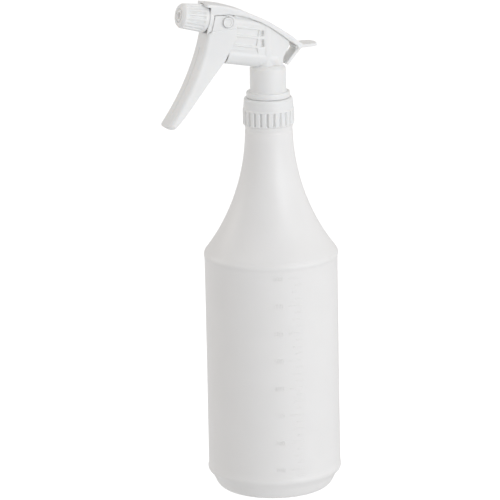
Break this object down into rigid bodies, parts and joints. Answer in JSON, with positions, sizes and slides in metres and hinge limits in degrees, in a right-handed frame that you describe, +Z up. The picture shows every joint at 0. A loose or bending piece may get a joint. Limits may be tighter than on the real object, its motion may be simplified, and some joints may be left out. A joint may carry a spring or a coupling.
{
  "type": "trigger spray bottle",
  "caption": "Round translucent bottle with a screw-on trigger pump, adjustable nozzle, dip tube and working valves inside.",
  "frame": {"origin": "centre of the flat base on the bottle's axis", "axes": "+Z up along the bottle's axis, +X the way it sprays, +Y to the left when looking along +X"},
  "size_m": [0.1162, 0.087, 0.3242],
  "materials": {
    "bottle_plastic": "translucent natural polyethylene, satin",
    "cap_plastic": "white polypropylene, semi-gloss",
    "head_plastic": "white polypropylene, semi-gloss",
    "trigger_plastic": "white polypropylene, semi-gloss",
    "nozzle_plastic": "white polypropylene, semi-gloss",
    "inner_plastic": "natural polypropylene, satin",
    "tube_plastic": "natural polyethylene, translucent",
    "seal": "soft light-grey elastomer",
    "steel": "bright stainless wire and ball"
  },
  "bodies": {
    "bottle": {"bottle": "bottle_plastic"},
    "head": {"pump_body": "head_plastic", "shroud": "head_plastic", "tube_retainer": "inner_plastic", "neck_gasket": "seal", "dip_tube": "tube_plastic", "ball_retainer": "inner_plastic", "nose_bushing": "inner_plastic", "spinner": "inner_plastic", "return_spring": "steel", "discharge_spring": "steel"},
    "closure": {"closure_cap": "cap_plastic"},
    "trigger": {"trigger": "trigger_plastic"},
    "piston": {"piston_rod": "inner_plastic", "piston_cup": "seal", "vent_seal": "seal"},
    "inlet_ball": {"inlet_ball": "steel"},
    "discharge_valve": {"discharge_valve": "inner_plastic"},
    "nozzle_seal": {"nozzle_seal": "seal"},
    "nozzle": {"nozzle": "nozzle_plastic"}
  },
  "joints": [
    {"name": "head_rise", "type": "slide", "parent": "bottle", "child": "head", "axis": [0, 0, 1], "range_m": [0, 0.00529]},
    {"name": "closure_turn", "type": "hinge", "parent": "head", "child": "closure", "pos_m": [0, 0, 0.25], "axis": [0, 0, 1], "range_deg": [0, 450]},
    {"name": "trigger_pull", "type": "hinge", "parent": "head", "child": "trigger", "pos_m": [0.02999, 0, 0.3106], "axis": [0, 1, 0], "range_deg": [0, 22], "stiffness_Nm_per_rad": 0.3, "springref_deg": -20.05},
    {"name": "piston_slide", "type": "slide", "parent": "head", "child": "piston", "axis": [-0.9799, 0, -0.1994], "range_m": [0, 0.0082], "deforming": ["return_spring"]},
    {"name": "inlet_ball_lift", "type": "slide", "parent": "head", "child": "inlet_ball", "axis": [0, 0, 1], "range_m": [0, 0.001]},
    {"name": "discharge_open", "type": "slide", "parent": "head", "child": "discharge_valve", "axis": [0.9799, 0, 0.1994], "range_m": [0, 0.001], "stiffness_N_per_m": 150, "springref_m": -0.002, "deforming": ["discharge_spring"]},
    {"name": "nozzle_advance", "type": "slide", "parent": "head", "child": "nozzle_seal", "axis": [0.9799, 0, 0.1994], "range_m": [0, 0.002]},
    {"name": "nozzle_turn", "type": "hinge", "parent": "nozzle_seal", "child": "nozzle", "pos_m": [0.049, 0, 0.31447], "axis": [0.9799, 0, 0.1994], "range_deg": [0, 360]}
  ],
  "couplings": [
    {"joint": "closure_turn", "follows": "head_rise", "rad_per_m": 1485.4},
    {"joint": "piston_slide", "follows": "trigger_pull", "m_per_rad": 0.0211},
    {"joint": "nozzle_turn", "follows": "nozzle_advance", "rad_per_m": 3141.6}
  ]
}
